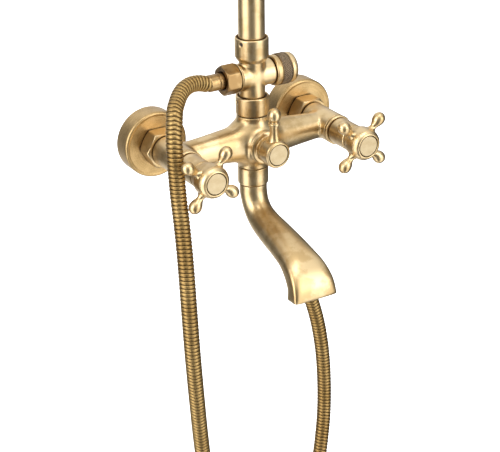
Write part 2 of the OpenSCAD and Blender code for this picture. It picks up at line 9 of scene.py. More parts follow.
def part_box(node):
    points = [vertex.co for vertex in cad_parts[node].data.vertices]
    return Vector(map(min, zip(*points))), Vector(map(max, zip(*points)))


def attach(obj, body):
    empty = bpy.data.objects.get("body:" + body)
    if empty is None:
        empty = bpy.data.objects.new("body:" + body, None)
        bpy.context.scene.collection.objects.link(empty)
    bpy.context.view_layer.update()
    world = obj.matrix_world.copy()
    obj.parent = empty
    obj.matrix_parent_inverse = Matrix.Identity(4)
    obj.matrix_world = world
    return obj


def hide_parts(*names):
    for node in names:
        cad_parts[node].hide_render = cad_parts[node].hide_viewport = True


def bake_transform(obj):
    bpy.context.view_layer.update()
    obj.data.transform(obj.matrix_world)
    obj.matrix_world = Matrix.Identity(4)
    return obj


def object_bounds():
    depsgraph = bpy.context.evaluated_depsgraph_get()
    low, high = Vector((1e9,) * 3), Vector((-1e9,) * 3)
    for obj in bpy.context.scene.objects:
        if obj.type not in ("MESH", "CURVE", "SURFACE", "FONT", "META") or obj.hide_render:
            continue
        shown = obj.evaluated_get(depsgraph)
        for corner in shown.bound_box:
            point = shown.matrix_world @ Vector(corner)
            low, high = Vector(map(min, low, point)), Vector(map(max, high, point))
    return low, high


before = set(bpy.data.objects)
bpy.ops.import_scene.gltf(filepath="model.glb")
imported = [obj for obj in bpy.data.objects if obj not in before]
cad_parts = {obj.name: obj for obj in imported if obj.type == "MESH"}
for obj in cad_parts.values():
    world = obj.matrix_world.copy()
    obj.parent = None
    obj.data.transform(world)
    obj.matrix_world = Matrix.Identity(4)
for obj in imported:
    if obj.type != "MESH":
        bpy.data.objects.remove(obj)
cad_box = [[float(c) for c in corner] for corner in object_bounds()]

MM = 0.001


# ---- places, taken from the frame ---------------------------------------------------------------

def span(node, axis):
    low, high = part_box(node)
    return low[axis] / MM, high[axis] / MM


def middle(node, axis):
    return sum(span(node, axis)) / 2


side = middle("cold_wall_flange", 0)
axis_y = middle("lower_riser", 1)
tee_z = middle("tee_knob", 2)
riser_top = span("lower_riser", 2)[1]
bracket_z = middle("bracket_flange", 2)
cradle_z = middle("slider_sleeve", 2)
head_y = middle("rain_head_shell", 1)
ball_z = middle("rain_ball_stud", 2) - 8.5       # the stud stands 26 above the ball's middle, and 9 below
FORK_X = 44                                      # the fork's middle, beside the riser
LEAN = 20                                        # the hand shower's lean from upright, in degrees
HANDLE_TURNS = (("hot", -side, 36), ("cold", side, 43))      # name, place, degrees from upright


def place(origin, turn=None):
    """Matrix from a piece's own millimetres to the row frame's metres."""
    move = Matrix.Translation(Vector(origin) * MM)
    return move @ (turn or Matrix.Identity(4)) @ Matrix.Scale(MM, 4)


def turned_by(axis, degrees):
    return Matrix.Rotation(math.radians(degrees), 4, axis)


def outward(x, z=0):
    """Own +Z points out of the wall."""
    return place((x, 0, z), turned_by("X", 90))


def sideways(z, degrees=90):
    """Own +Z points along +X from the riser's axis, or along -X when turned the other way."""
    return place((0, axis_y, z), turned_by("Y", degrees))


def upright(z=0, y=None):
    """Own +Z runs up the riser."""
    return place((0, axis_y if y is None else y, z))


def on_cradle():
    """Own +Z runs up the hand shower's handle."""
    return place((FORK_X, axis_y, cradle_z), turned_by("X", LEAN))


# ---- camera -------------------------------------------------------------------------------------

def make_camera():
    eye = Vector((-639.6, -1106.2, 491.9)) * MM
    target = Vector((-17.1, -75.0, -69.2)) * MM
    roll = math.radians(-0.71)
    camera = bpy.data.objects.new("camera", bpy.data.cameras.new("camera"))
    bpy.context.scene.collection.objects.link(camera)
    look = (target - eye).to_track_quat("-Z", "Y").to_matrix().to_4x4()
    camera.matrix_world = Matrix.Translation(eye) @ look @ Matrix.Rotation(roll, 4, "Z")
    camera.data.lens = 110.4
    camera.data.sensor_width = 36
    bpy.context.scene.camera = camera


# ---- shader expressions -------------------------------------------------------------------------

class Wire:
    """A socket in an expression on numbers: each operator adds its Math node."""

    def __init__(self, finish, socket):
        self.finish, self.socket = finish, socket

    def math(self, operation, *others):
        return self.finish.math(operation, self, *others)

    def __add__(self, other):
        return self.math("ADD", other)

    def __radd__(self, other):
        return self.finish.math("ADD", other, self)

    def __rsub__(self, other):
        return self.finish.math("SUBTRACT", other, self)

    def __mul__(self, other):
        return self.math("MULTIPLY", other)

    def __truediv__(self, other):
        return self.math("DIVIDE", other)


class Finish:
    """A material or world and its nodes."""

    def __init__(self, name, owner=None):
        self.material = owner or bpy.data.materials.new(name)
        self.material.use_nodes = True
        self.tree = self.material.node_tree
        self.shader = self.tree.nodes.get("Principled BSDF")

    def node(self, kind, settings=None, sockets=None):
        """Any node: its settings first, then the values or links of its sockets."""
        made = self.tree.nodes.new("ShaderNode" + kind)
        for key, value in (settings or {}).items():
            setattr(made, key, value)
        for key, value in (sockets or {}).items():
            self.feed(made.inputs[key], value)
        return made

    def feed(self, socket, value):
        if isinstance(value, Wire):
            value = value.socket
        if isinstance(value, bpy.types.NodeSocket):
            self.tree.links.new(value, socket)
        elif socket.type == "RGBA" and len(value) == 3:
            socket.default_value = (*value, 1)
        else:
            socket.default_value = value

    def wire(self, node, output=0):
        return Wire(self, node.outputs[output])

    def math(self, operation, *values):
        made = self.node("Math", {"operation": operation})
        for socket, value in zip(made.inputs, values):
            self.feed(socket, value)
        return self.wire(made)

    def position(self):
        return self.node("TexCoord").outputs["Object"]

    def axes(self, where=None):
        """The three coordinates of a point, its own ones unless told."""
        parts = self.node("SeparateXYZ", sockets={"Vector": where or self.position()})
        return [self.wire(parts, k) for k in range(3)]

    def vector(self, x, y, z):
        return self.node("CombineXYZ", sockets={"X": x, "Y": y, "Z": z}).outputs[0]

    def noise(self, scale, where=None, detail=2.0, roughness=0.5):
        made = self.node("TexNoise", sockets={"Vector": where or self.position(), "Scale": scale,
                                              "Detail": detail, "Roughness": roughness})
        return self.wire(made)

    def between(self, value, low, high):
        """0 below low, 1 above high, smooth in the middle."""
        made = self.node("MapRange", {"interpolation_type": "SMOOTHSTEP"},
                         {"Value": value, "From Min": low, "From Max": high})
        return self.wire(made)

    def mix(self, factor, first, second):
        made = self.node("Mix", {"data_type": "RGBA"})
        self.feed(made.inputs[0], factor)
        self.feed(made.inputs[6], first)
        self.feed(made.inputs[7], second)
        return made.outputs[2]

    def bump(self, height, distance, strength):
        sockets = {"Height": height, "Distance": distance, "Strength": strength}
        return self.node("Bump", sockets=sockets).outputs[0]

    def set(self, **sockets):
        for key, value in sockets.items():
            self.feed(self.shader.inputs[key.replace("_", " ")], value)
        return self

    def crevice(self, distance):
        """Ambient occlusion: 1 in tight corners, 0 in the open; the mask for painted shade."""
        made = self.node("AmbientOcclusion", {"samples": 8}, {"Distance": distance})
        return 1 - self.wire(made, "AO")

    def edge(self, radius):
        """1 on sharp outer edges, 0 on flats; the mask for painted highlights."""
        soft = self.node("Bevel", {"samples": 6}, {"Radius": radius}).outputs[0]
        true = self.node("NewGeometry").outputs["Normal"]
        same = self.node("VectorMath", {"operation": "DOT_PRODUCT"}, {0: soft, 1: true})
        return 1 - self.wire(same, "Value")


# ---- finishes -----------------------------------------------------------------------------------

METRE = 1000.0        # own coordinates of the frame's nodes are in metres, those of a piece in mm


class Brass:
    """Colours and sheen of one kind of brass; dark is the painted shade put into tight corners."""

    def __init__(self, light, mid, dark, rough):
        self.light, self.mid, self.dark, self.rough = light, mid, dark, rough


# the dark colour of each brass is painted shade for its tight corners
ANTIQUE = Brass((0.70, 0.53, 0.29), (0.55, 0.385, 0.18), (0.13, 0.065, 0.022), 0.31)
DEEPER = Brass((0.42, 0.285, 0.125), (0.28, 0.17, 0.065), (0.07, 0.035, 0.012), 0.30)
EDGE_HIGHLIGHT = (0.95, 0.80, 0.55)         # painted highlight: pale cream on sharp outer edges
RAW = Brass((0.60, 0.46, 0.23), (0.47, 0.33, 0.14), (0.18, 0.10, 0.04), 0.30)


def brass(name, kind, marks, unit=1.0, band=None):
    """Brushed brass. marks says how the tool went over it: turned, drawn or cast.

    band is a stretch of own height that stays dark and rougher, such as knurling.
    """
    f = Finish(name)
    x, y, z = [c * unit for c in f.axes()]
    where = f.vector(x, y, z)
    if marks == "turned":
        radius = (x * x + y * y).math("SQRT")
        lines = f.noise(1.0, f.vector(radius * 6, z * 6, (x + y) * 0.06), detail=3)
    elif marks == "drawn":
        lines = f.noise(1.0, f.vector(x * 5, y * 5, z * 0.10), detail=3)
    else:
        lines = f.noise(1.0, f.vector(x * 0.7, y * 3, z * 3), detail=4)
    cloud = f.noise(0.05, where, detail=3, roughness=0.6)
    speck = f.noise(1.8, where, detail=3, roughness=0.6)
    tone = f.between(cloud, 0.32, 0.68) * 0.45 + lines * 0.35 + speck * 0.2
    base = f.mix(f.between(tone, 0.36, 0.64), kind.mid, kind.light)
    # painted shade: ambient occlusion darkens tight corners towards the dark colour
    painted_corner_shade = f.between(f.crevice(2.2 * MM), 0.10, 0.62)
    base = f.mix(painted_corner_shade * 0.92, base, kind.dark)
    # painted highlight: sharp outer edges found by the bevel normal are lightened towards pale cream
    base = f.mix(f.between(f.edge(0.6 * MM), 0.06, 0.5) * 0.30, base, EDGE_HIGHLIGHT)
    rough = kind.rough - 0.06 + lines * 0.12 + speck * 0.05
    if band:
        low, high = band
        inside = f.between(z, low - 0.1, low + 0.1) * (1 - f.between(z, high - 0.1, high + 0.1))
        base = f.mix(inside * 0.75, base, (0.14, 0.105, 0.08))
        rough = rough + inside * 0.12
    f.set(Base_Color=base, Metallic=1.0, Roughness=rough, Coat_Weight=0.25, Coat_Roughness=0.35,
          Normal=f.bump(lines * 0.6 + speck * 0.4, 0.06 * MM, 0.4))
    return f.material


def flange_brass():
    """Coarser brushing in rings, as the wall flanges have."""
    f = Finish("brass_flange")
    x, y, z = f.axes()
    radius = (x * x + y * y).math("SQRT")
    rings = f.noise(1.0, f.vector(radius * 2.4, z * 2.4, (x + y) * 0.14), detail=5, roughness=0.7)
    grain = f.noise(1.1, f.vector(x, y, z), detail=4, roughness=0.75)
    cloud = f.noise(0.07, f.vector(x, y, z), detail=2)
    tone = rings * 0.45 + grain * 0.4 + cloud * 0.3
    base = f.mix(f.between(tone, 0.44, 0.70), (0.36, 0.23, 0.085), (0.60, 0.42, 0.195))
    # painted shade: ambient occlusion darkens tight corners towards the dark colour
    base = f.mix(f.between(f.crevice(3 * MM), 0.12, 0.8) * 0.85, base, ANTIQUE.dark)
    # painted highlight: sharp outer edges found by the bevel normal are lightened towards pale cream
    base = f.mix(f.between(f.edge(0.8 * MM), 0.05, 0.4) * 0.45, base, EDGE_HIGHLIGHT)
    f.set(Base_Color=base, Metallic=1.0, Roughness=0.33 + grain * 0.14, Coat_Weight=0.2,
          Coat_Roughness=0.4, Normal=f.bump(rings * 0.5 + grain * 0.5, 0.12 * MM, 0.55))
    return f.material


def matte_disc_brass():
    """Pale blasted face of the flat discs in the handles."""
    f = Finish("brass_disc")
    grain = f.noise(3.2, detail=4, roughness=0.7)
    cloud = f.noise(0.15, detail=2)
    base = f.mix(f.between(grain * 0.6 + cloud * 0.4, 0.35, 0.62), (0.52, 0.40, 0.23), (0.62, 0.51, 0.32))
    # painted shade: ambient occlusion darkens tight corners towards the dark colour
    base = f.mix(f.between(f.crevice(0.8 * MM), 0.1, 0.6) * 0.9, base, ANTIQUE.dark)
    f.set(Base_Color=base, Metallic=1.0, Roughness=0.42 + grain * 0.08,
          Normal=f.bump(grain, 0.08 * MM, 0.5))
    return f.material


def plain(name, colour, rough, metallic=0.0, scale=400.0, spread=0.12):
    """Moulded plastic, rubber and raw metal of the pieces inside."""
    f = Finish(name)
    grain = f.noise(scale, detail=3)
    shade = tuple(c * (1 - spread) for c in colour)
    f.set(Base_Color=f.mix(f.between(grain, 0.35, 0.65), shade, colour), Metallic=metallic,
          Roughness=rough - 0.04 + grain * 0.08, Normal=f.bump(grain, 0.02 * MM, 0.3))
    return f.material


def hose_brass():
    f = Finish("brass_hose")
    depth = f.wire(f.node("Attribute", {"attribute_name": "rib"}), "Fac")
    cloud = f.noise(30.0, detail=3)
    grain = f.noise(900.0, detail=2)
    crown = f.mix(f.between(cloud, 0.35, 0.65), (0.33, 0.205, 0.07), (0.44, 0.295, 0.115))
    # painted shade: the grooves between the ribs are painted near black, and the rib crowns keep the brass
    # colour
    base = f.mix(f.between(depth, 0.30, 0.9), (0.04, 0.022, 0.008), crown)
    f.set(Base_Color=base, Metallic=1.0, Roughness=0.36 + grain * 0.14,
          Normal=f.bump(grain, 0.03 * MM, 0.3))
    return f.material


turned_brass = brass("brass_turned", ANTIQUE, "turned")
cast_brass = brass("brass_cast", ANTIQUE, "cast")
drawn_brass = brass("brass_drawn", ANTIQUE, "drawn")
deep_brass = brass("brass_deep", DEEPER, "turned")
knurled_brass = brass("brass_knurled", ANTIQUE, "turned", band=(24.0, 33.0))
raw_brass = brass("brass_raw", RAW, "cast", unit=METRE)
raw_turned = brass("brass_raw_turned", RAW, "turned")
arm_brass = brass("brass_arm", ANTIQUE, "cast")
disc_brass = matte_disc_brass()
ringed_brass = flange_brass()
rubber = plain("rubber_black", (0.035, 0.035, 0.037), 0.62)
pale_plastic = plain("plastic_pale", (0.80, 0.78, 0.72), 0.42)
grey_plastic = plain("plastic_grey", (0.26, 0.25, 0.24), 0.45)
steel = plain("steel_zinc", (0.62, 0.61, 0.59), 0.34, metallic=1.0)
black_steel = plain("steel_blackened", (0.07, 0.055, 0.045), 0.5, metallic=0.6)


# ---- mesh tools ---------------------------------------------------------------------------------

def piece(name, shape, body, material, matrix, node=None):
    """One mesh piece that rides on a body. shape is (points, faces) in its own millimetres."""
    points, faces = shape
    mesh = bpy.data.meshes.new(name)
    mesh.from_pydata(np.asarray(points, float).tolist(), [], [list(f) for f in faces])
    mesh.validate()
    mesh.polygons.foreach_set("use_smooth", [True] * len(mesh.polygons))
    mesh.materials.append(material)
    mesh.update()
    obj = bpy.data.objects.new(name, mesh)
    bpy.context.scene.collection.objects.link(obj)
    obj.matrix_world = matrix
    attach(obj, body)
    if node:
        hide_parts(node)
    return obj


def joined(*shapes):
    """Several (points, faces) as one."""
    points, faces, count = [], [], 0
    for p, f in shapes:
        points.append(np.asarray(p, float))
        faces += [[count + i for i in face] for face in f]
        count += len(p)
    return np.vstack(points), faces


def moved(shape, matrix):
    points, faces = shape
    m = np.array(matrix)
    return np.asarray(points) @ m[:3, :3].T + m[:3, 3], faces


def ring_faces(n, m, closed=False):
    """Quads between n rings of m points, and a face over each end unless the rings close on themselves."""
    faces = []
    for i in range(n if closed else n - 1):
        a, b = i * m, (i + 1) % n * m
        faces += [(a + j, a + (j + 1) % m, b + (j + 1) % m, b + j) for j in range(m)]
    if not closed:
        faces += [list(range(m))[::-1], [(n - 1) * m + j for j in range(m)]]
    return faces


def softened(profile, radius, closed):
    """Profile with each clear corner as a small arc between two support points."""
    p = [np.array(q, float) for q in profile]
    n = len(p)
    out = []
    for i, corner in enumerate(p):
        if not closed and i in (0, n - 1):
            out.append(corner)
            continue
        back, ahead = p[i - 1] - corner, p[(i + 1) % n] - corner
        lb, la = np.linalg.norm(back), np.linalg.norm(ahead)
        if lb < 1e-6 or la < 1e-6 or (back @ ahead) / (lb * la) < -0.97:
            out.append(corner)
            continue
        cut = min(radius, 0.4 * lb, 0.4 * la)
        start, end = corner + back / lb * cut, corner + ahead / la * cut
        out.append(corner + back / lb * min(cut * 1.4, 0.45 * lb))
        for s in np.linspace(0, 1, 5):
            out.append((1 - s) ** 2 * start + 2 * s * (1 - s) * corner + s * s * end)
        out.append(corner + ahead / la * min(cut * 1.4, 0.45 * la))
    return out


def divided(profile, longest):
    """Profile with no step longer than this, for a shape that varies along it."""
    out = [profile[0]]
    for a, b in zip(profile, profile[1:]):
        parts = max(1, math.ceil(np.linalg.norm(b - a) / longest))
        out += [a + (b - a) * k / parts for k in range(1, parts + 1)]
    return out


def lathe(profile, soft=0.5, closed=False, sides=96, relief=None, step=None):
    """Solid of revolution round own Z from [radius, height] points.

    relief(radius, height, angle) gives the radius to use instead, for hexagons, threads and knurling;
    step is then the longest stretch of profile between two rings.
    """
    line = softened(profile, soft, closed)
    if step:
        line = divided(line + line[:1] if closed else line, step)
        line = line[:-1] if closed else line
    r, z = np.array(line)[:, 0:1], np.array(line)[:, 1:2]
    angle = np.arange(sides)[None, :] * 2 * math.pi / sides
    reach = relief(r, z, angle) if relief else r + 0 * angle
    points = np.stack([reach * np.cos(angle), reach * np.sin(angle), z + 0 * angle], -1).reshape(-1, 3)
    faces = ring_faces(len(line), sides, closed)
    return (points, faces) if closed else capped(points, faces, len(line), sides)


def capped(points, faces, n, sides):
    """An end ring of no radius becomes one point."""
    for ring in (0, n - 1):
        first = ring * sides
        if np.ptp(points[first:first + sides, :2]) < 1e-6:
            members = set(range(first, first + sides))
            fixed = []
            for face in faces:
                kept = []
                for v in face:
                    v = first if v in members else v
                    if v not in kept:
                        kept.append(v)
                if len(kept) > 2:
                    fixed.append(kept)
            faces = fixed
    return points, faces


def hexagon(af, chamfer_from, chamfer_to, turn=0):
    """Relief of a hexagon across flats, with corners cut back by a cone towards both ends."""
    def relief(r, z, angle):
        flat = (angle - math.radians(turn) + math.pi / 6) % (math.pi / 3) - math.pi / 6
        wall = af / 2 / np.cos(flat)
        cone = af / 2 + 1.6 * np.minimum(z - chamfer_from, chamfer_to - z) + 0.1
        corner = af / math.sqrt(3) - 0.35
        shape = np.minimum(np.minimum(wall, cone), corner)
        return np.where(r > af / 2 - 0.6, np.minimum(shape, r + 9), r)
    return relief


def smooth_line(points, spacing):
    """Even steps along the smooth curve through the points, and the length so far at each."""
    p = np.array(points, float)
    q = np.vstack([p[:1], p, p[-1:]])
    t = np.linspace(0, 1, 40, endpoint=False)[:, None]
    runs = []
    for a, b, c, d in zip(q, q[1:], q[2:], q[3:]):
        runs.append(0.5 * (2 * b + (c - a) * t + (2 * a - 5 * b + 4 * c - d) * t * t
                           + (3 * b - a - 3 * c + d) * t ** 3))
    line = np.vstack(runs + [p[-1:]])
    along = np.concatenate([[0], np.cumsum(np.linalg.norm(np.diff(line, axis=0), axis=1))])
    even = np.linspace(0, along[-1], max(2, round(along[-1] / spacing)) + 1)
    return np.stack([np.interp(even, along, line[:, k]) for k in range(p.shape[1])], 1), even


def sweep(line, radii, sides):
    """Tube of rings round a line; radii is a function of ring numbers and angles."""
    n = len(line)
    heading = np.gradient(line, axis=0)
    heading /= np.linalg.norm(heading, axis=1)[:, None]
    first = np.zeros((n, 3))
    start = np.cross(heading[0], (0, 1, 0))
    first[0] = start / np.linalg.norm(start)
    for i in range(1, n):
        v = first[i - 1] - heading[i] * (first[i - 1] @ heading[i])
        first[i] = v / np.linalg.norm(v)
    second = np.cross(heading, first)
    angles = np.arange(sides) * 2 * math.pi / sides
    r = radii(np.arange(n)[:, None], angles[None, :])
    points = (line[:, None, :] + (r * np.cos(angles))[..., None] * first[:, None, :]
              + (r * np.sin(angles))[..., None] * second[:, None, :]).reshape(-1, 3)
    return points, ring_faces(n, sides)


# ---- castings: smooth unions of simple solids ----------------------------------------------------

def soft_union(k, *parts):
    """Distance to several solids with fillets of about k between them."""
    total = parts[0]
    for part in parts[1:]:
        h = np.clip(0.5 + 0.5 * (part - total) / k, 0, 1)
        total = part + (total - part) * h - k * h * (1 - h)
    return total


def carved(solid, *holes):
    """Distance to a solid less its holes, with soft edges."""
    for hole in holes:
        solid = -soft_union(0.7, -solid, hole)
    return solid


def spun(radius, along, profile, edge=0.8):
    """Distance to a solid of revolution from [along, radius] points, with soft end edges."""
    curve, _ = smooth_line(profile, 0.5)
    wall = radius - np.interp(along, curve[:, 0], curve[:, 1])
    ends = np.maximum(curve[0, 0] - along, along - curve[-1, 0])
    return -soft_union(edge, -wall, -ends)


def skin(distance, low, high, step):
    """Mesh of a solid's surface: one point in each grid cell it crosses, pulled onto the surface."""
    lines = [np.arange(a - 2 * step, b + 3 * step, step) for a, b in zip(low, high)]
    grid = np.stack(np.meshgrid(*lines, indexing="ij"), -1)
    inside = distance(grid) < 0
    corners = [inside[i:i - 1 or None, j:j - 1 or None, k:k - 1 or None]
               for i in (0, 1) for j in (0, 1) for k in (0, 1)]
    count = sum(c.astype(int) for c in corners)
    crossed = (count > 0) & (count < 8)
    number = np.full(crossed.shape, -1)
    number[crossed] = np.arange(crossed.sum())
    points = grid[:-1, :-1, :-1][crossed] + step / 2
    faces = []
    for axis in range(3):
        u, v = (axis + 1) % 3, (axis + 2) % 3
        here = np.take(inside, range(inside.shape[axis] - 1), axis)
        there = np.take(inside, range(1, inside.shape[axis]), axis)
        for hit, order in ((here & ~there, 1), (~here & there, -1)):
            at = np.argwhere(hit)
            around = []
            for du, dv in ((1, 1), (0, 1), (0, 0), (1, 0)):
                cell = at.copy()
                cell[:, u] -= du
                cell[:, v] -= dv
                around.append(number[tuple(cell.T)])
            faces += np.stack(around, 1)[:, ::order].tolist()
    reach = 0.05 * step
    for _ in range(5):
        slope = np.stack([distance(points + reach * e) - distance(points - reach * e)
                          for e in np.eye(3)], 1) / (2 * reach)
        size = np.maximum((slope ** 2).sum(1), 0.05)
        points = points - np.clip(distance(points) / size, -step, step)[:, None] * slope
    return points, faces


# ---- mixer --------------------------------------------------------------------------------------

def mixer_casting(p):
    """Distance to the mixer's body: cross bar, neck, diverter boss and the two end cylinders."""
    x, d, z = p[..., 0], -p[..., 1], p[..., 2]
    forward = d + axis_y
    bar = spun(np.hypot(forward, z), np.abs(x),
               [(0, 16.4), (10, 16.4), (18, 15.9), (26, 15), (34, 14.2), (46, 13.1), (56, 12.3),
                (64, 11.8), (70, 11.8)])
    neck = spun(np.hypot(x, forward), z,
                [(-22.9, 13.3), (-19, 13.8), (-13, 16.4), (-5, 18.8), (3, 19.4), (11, 18.6),
                 (16.5, 16.2), (20, 14.4), (22.5, 14), (24.6, 14)])
    boss = spun(np.hypot(x, z), d, [(53, 14.4), (60, 14.4), (74, 14.4)])
    ends = spun(np.hypot(np.abs(x) - side, z), d, [(34.2, 13.2), (50, 13.2), (71.6, 13.2)])
    return soft_union(2.4, soft_union(3.5, soft_union(8, bar, neck), boss), ends)


def make_mixer():
    casting = skin(mixer_casting, (-side - 14, -75, -24), (side + 14, -33, 26), 0.9)
    piece("mixer_casting", casting, "fixed", cast_brass, place((0, 0, 0)), "mixer_body")
    beads = lathe([(9.5, 27.6), (12.6, 27.6), (12.6, 33), (10.5, 34), (10.5, 71), (12.3, 71),
                   (12.3, 72.2), (12.9, 72.3), (13.3, 73), (13.3, 74.2), (12.7, 74.9), (11.5, 75),
                   (9.5, 75)], 0.35, closed=True)
    for name, x, _ in HANDLE_TURNS:
        piece(name + "_end_beads", beads, "fixed", turned_brass, outward(x))
        piece(name + "_flange", lathe(
            [(13.3, 12.8), (13.3, 17.6), (20, 17.5), (26.2, 17.5), (27.6, 18), (28.8, 17.6),
             (29.5, 16.2), (29.5, 1.5), (29.4, 0), (27.9, 0), (27.9, 15.2), (16, 15.6), (15.6, 12.8)],
            0.9, closed=True, sides=160), "fixed", ringed_brass, outward(x), name + "_wall_flange")
        piece(name + "_union_thread", threaded_union(), "fixed", raw_turned, outward(x),
              name + "_wall_union")
        piece(name + "_union_hexagon", lathe(
            [(13.1, 18.4), (17.3, 18.4), (17.3, 33.5), (10.4, 33.5), (10.4, 30.2), (13.1, 30.2)],
            0.3, closed=True, sides=180, relief=hexagon(30, 18.4, 33.5, 30), step=0.5),
            "fixed", turned_brass, outward(x), name + "_union_nut")


def threaded_union():
    """Union with a 1.81 mm pitch thread and a bar across its bore for the key."""
    def thread(r, z, angle):
        wave = np.abs((z / 1.81 - angle / (2 * math.pi)) % 1 - 0.5) * 2
        ends = np.clip((z + 15.6) / 1.5, 0, 1) * np.clip((3 - z) / 1.5, 0, 1)
        cut = 1.1 * np.clip(wave * 1.5 - 0.25, 0, 1) * ends
        return np.where((r > 9.6) & (z < 3.5), r - cut, r)

    shell = lathe([(7.5, -16), (10.4, -16), (10.4, 4), (13, 4), (13, 25.4), (7.5, 25.4)], 0.4,
                  closed=True, relief=thread, step=0.3)
    bar = box((-7.55, -1.3, -8), (7.55, 1.3, -4), 0.3)
    return joined(shell, bar)


def box(low, high, bevel):
    """Box with bevelled edges and corners."""
    low, high = np.array(low, float), np.array(high, float)
    half, mid = (high - low) / 2, (low + high) / 2
    points, faces = [], []
    for signs in np.ndindex(2, 2, 2):
        s = np.array(signs) * 2 - 1
        for keep in range(3):
            inset = np.array([0 if k == keep else bevel for k in range(3)])
            points.append(mid + s * (half - inset))
    index = {(signs, keep): 3 * n + keep
             for n, signs in enumerate(np.ndindex(2, 2, 2)) for keep in range(3)}
    for axis in range(3):
        u, v = (axis + 1) % 3, (axis + 2) % 3
        for s in (0, 1):
            loop = []
            for a, b in ((0, 0), (1, 0), (1, 1), (0, 1)):
                signs = [0, 0, 0]
                signs[axis], signs[u], signs[v] = s, a, b
                loop.append(index[tuple(signs), axis])
            faces.append(loop if s else loop[::-1])
        for a in (0, 1):
            for b in (0, 1):
                ends = []
                for s in (0, 1):
                    signs = [0, 0, 0]
                    signs[axis], signs[u], signs[v] = s, a, b
                    ends.append((index[tuple(signs), u], index[tuple(signs), v]))
                loop = [ends[0][0], ends[0][1], ends[1][1], ends[1][0]]
                faces.append(loop if a == b else loop[::-1])
    for signs in np.ndindex(2, 2, 2):
        loop = [index[signs, keep] for keep in range(3)]
        faces.append(loop if sum(signs) % 2 else loop[::-1])
    return np.array(points), faces


def teardrop():
    """Arm of a cross handle along own Z, from inside the hub to the tip of its ball."""
    line, _ = smooth_line([(10.5, 6), (12.4, 5.3), (13.8, 4.2), (15.2, 3.3), (16.6, 2.9), (18, 3.1),
                           (19.8, 3.9), (22, 4.9), (24.6, 5.45), (27, 5.3), (29, 4.3), (30.6, 2.5),
                           (31.45, 0)], 0.35)
    return lathe([(0, line[0][0])] + [(max(r, 0), a) for a, r in line[:-1]] + [(0, line[-1][0])],
                 soft=0.01, sides=40)


def make_handle(name, x, degrees):
    body = name + "_handle_turn"
    hub = lathe([(4.2, 98.5), (11.3, 98.5), (12.2, 99.3), (12.2, 103.2), (13.2, 104.4), (13.9, 105.8),
                 (14, 108), (14, 115.2), (13.3, 117.4), (12, 119.2), (10.8, 120.2), (9.9, 120.3),
                 (9.55, 119.8), (9.55, 115.6), (4.2, 115.6)], 0.5, closed=True, sides=128)
    piece(name + "_hub", hub, body, turned_brass, outward(x), name + "_handle")
    arms = joined(*(moved(teardrop(), Matrix.Translation((0, 0, 109.8)) @ turned_by("Z", -degrees - 90 * k)
                          @ turned_by("X", -90)) for k in range(4)))
    piece(name + "_arms", arms, body, cast_brass, outward(x))
    disc = lathe([(0, 116.2), (9.05, 116.2), (9.05, 119.5), (8.7, 119.9), (0, 119.9)], 0.25, sides=128)
    piece(name + "_disc", disc, body, disc_brass, outward(x), name + "_index_disc")
    bonnet = lathe([(10, 75), (11.1, 75), (11.1, 75.9), (11.8, 76.4), (11.8, 96.9), (11.2, 97.9),
                    (9.4, 97.9), (9.4, 77.2), (10, 77)], 0.5, closed=True)
    piece(name + "_bonnet_turned", bonnet, "fixed", turned_brass, outward(x), name + "_bonnet")


def make_diverter():
    ring = lathe([(9.7, 74), (14.3, 74), (14.8, 74.6), (14.7, 75.6), (13.4, 76.4), (11.3, 76.8), (11, 77.4),
                  (11, 81.5), (9.7, 81.5)], 0.4, closed=True)
    piece("diverter_base", ring, "fixed", turned_brass, outward(0), "diverter_base_ring")
    hub = lathe([(0, 82.1), (10.9, 82.1), (11.8, 83.2), (12, 85), (12, 93), (11.6, 94.4), (10.8, 95.3),
                 (9.9, 95.5), (9.55, 95.1), (9.55, 92.6), (0, 92.6)], 0.5, sides=128)
    stem, _ = smooth_line([(9.8, 6.2), (11.6, 5.6), (13.2, 4.9), (16, 4.1), (19, 3.65), (22, 3.6),
                           (24.6, 3.9)], 0.4)
    half = [math.radians(a) for a in range(-50, 90, 6)]
    ball = [(5.9 * math.cos(a), 33.2 + (5.7 if a < 0 else 6.7) * math.sin(a)) for a in half]
    bead = [(4.9, 25), (5.1, 25.6), (5.1, 26.5), (4.8, 27.1), (3.7, 27.5), (3.5, 28.1)]
    arm = lathe([(0, 9.8)] + [(r, a) for a, r in stem] + bead + ball + [(0, 39.95)], 0.25, sides=56)
    lever = joined(hub, moved(arm, Matrix.Translation((0, 0, 88)) @ turned_by("X", -90)))
    piece("diverter_lever_turned", lever, "diverter_turn", turned_brass, outward(0), "diverter_lever")
    cap = lathe([(0, 92.9), (9.05, 92.9), (9.05, 94.9), (8.7, 95.2), (0, 95.2)], 0.25, sides=128)
    piece("diverter_disc", cap, "diverter_turn", disc_brass, outward(0), "diverter_cap")


# ---- spout --------------------------------------------------------------------------------------

SPOUT_ROWS = [           # forward, height, half width, half thickness, squareness
    (0, -39.4, 12, 12, 2), (0, -43, 12, 12, 2), (0.4, -48, 12, 12, 2), (3.5, -57, 11.8, 11.8, 2),
    (10, -65, 12.2, 12, 2), (20, -70.5, 13, 12.2, 2.1), (36, -75, 14.4, 12, 2.2),
    (54, -79.5, 15.6, 11.4, 2.3), (70, -84.5, 17, 10.4, 2.5), (83, -91.5, 18.9, 9.2, 3.6),
    (91.5, -100.5, 20.5, 8, 5), (94, -110.4, 21.4, 7.9, 7)]


